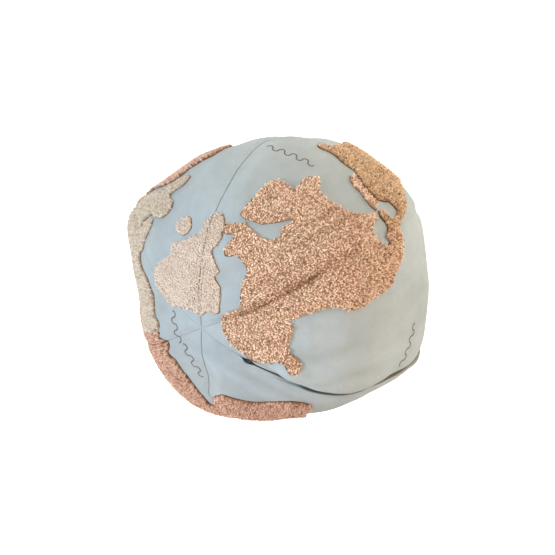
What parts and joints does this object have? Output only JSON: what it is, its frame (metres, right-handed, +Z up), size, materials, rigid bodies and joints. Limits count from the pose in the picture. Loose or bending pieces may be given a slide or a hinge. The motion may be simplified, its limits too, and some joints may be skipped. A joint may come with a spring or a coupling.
{
  "type": "stuffed globe cushion",
  "caption": "Ball-shaped stuffed cushion laid out as a globe: six canvas gores, tufted land in looped pile, stitched waves, and a concealed zip over a loose inner cushion.",
  "frame": {"origin": "on the floor, at the middle of the flattened base", "axes": "+Z up through the north pole; -X faces the zipped seam, and -Y faces the Americas"},
  "size_m": [0.4086, 0.4158, 0.393],
  "materials": {
    "cover_canvas": "plain woven cotton canvas, matt",
    "america_pile": "looped cotton pile, matt",
    "cream_pile": "looped cotton pile, matt",
    "africa_pile": "looped cotton pile, matt",
    "asia_pile": "looped cotton pile, matt",
    "oceania_pile": "looped cotton pile, matt",
    "embroidery_thread": "twisted embroidery thread, slight sheen",
    "calico": "unbleached calico, matt",
    "fibre": "loose polyester fibre",
    "zip_tape_fabric": "woven polyester tape, matt",
    "zip_coil_plastic": "satin nylon coil",
    "zip_metal": "satin nickel plate"
  },
  "bodies": {
    "cover": {"cover_gore_1": "cover_canvas", "cover_gore_2": "cover_canvas", "cover_gore_3": "cover_canvas", "cover_gore_4": "cover_canvas", "cover_gore_5": "cover_canvas", "cover_gore_6": "cover_canvas", "north_america_west_pile": "america_pile", "north_america_east_pile": "america_pile", "south_america_pile": "america_pile", "caribbean_pile": "america_pile", "greenland_west_pile": "cream_pile", "greenland_east_pile": "cream_pile", "greenland_tip_pile": "cream_pile", "iceland_pile": "cream_pile", "western_europe_pile": "cream_pile", "scandinavia_pile": "cream_pile", "eastern_europe_pile": "cream_pile", "africa_west_pile": "africa_pile", "africa_east_pile": "africa_pile", "madagascar_pile": "africa_pile", "western_asia_pile": "asia_pile", "central_asia_pile": "asia_pile", "far_east_pile": "asia_pile", "japan_pile": "asia_pile", "sumatra_pile": "oceania_pile", "borneo_pile": "oceania_pile", "new_guinea_pile": "oceania_pile", "australia_west_pile": "oceania_pile", "australia_east_pile": "oceania_pile", "new_zealand_pile": "oceania_pile", "arctic_wave_stitching": "embroidery_thread", "atlantic_wave_stitching": "embroidery_thread", "pacific_wave_stitching": "embroidery_thread", "indian_wave_stitching": "embroidery_thread", "inner_case_gore_1": "calico", "inner_case_gore_2": "calico", "inner_case_gore_3": "calico", "inner_case_gore_4": "calico", "inner_case_gore_5": "calico", "inner_case_gore_6": "calico", "fibre_filling": "fibre", "zip_tape_left": "zip_tape_fabric", "zip_tape_right": "zip_tape_fabric", "zip_coil_left": "zip_coil_plastic", "zip_coil_right": "zip_coil_plastic", "zip_top_stop": "zip_metal", "zip_bottom_stop": "zip_metal", "zip_guard_strip": "zip_tape_fabric"},
    "slider": {"zip_slider": "zip_metal"},
    "pull_tab": {"zip_pull_tab": "zip_metal"}
  },
  "joints": [
    {"name": "zip_run", "type": "hinge", "parent": "cover", "child": "slider", "pos_m": [0, 0, 0.186], "axis": [0, 1, 0], "range_deg": [0, 100]},
    {"name": "tab_swing", "type": "hinge", "parent": "slider", "child": "pull_tab", "pos_m": [-0.16012, 0, 0.0609], "axis": [0, 1, 0], "range_deg": [-44, 148]}
  ]
}
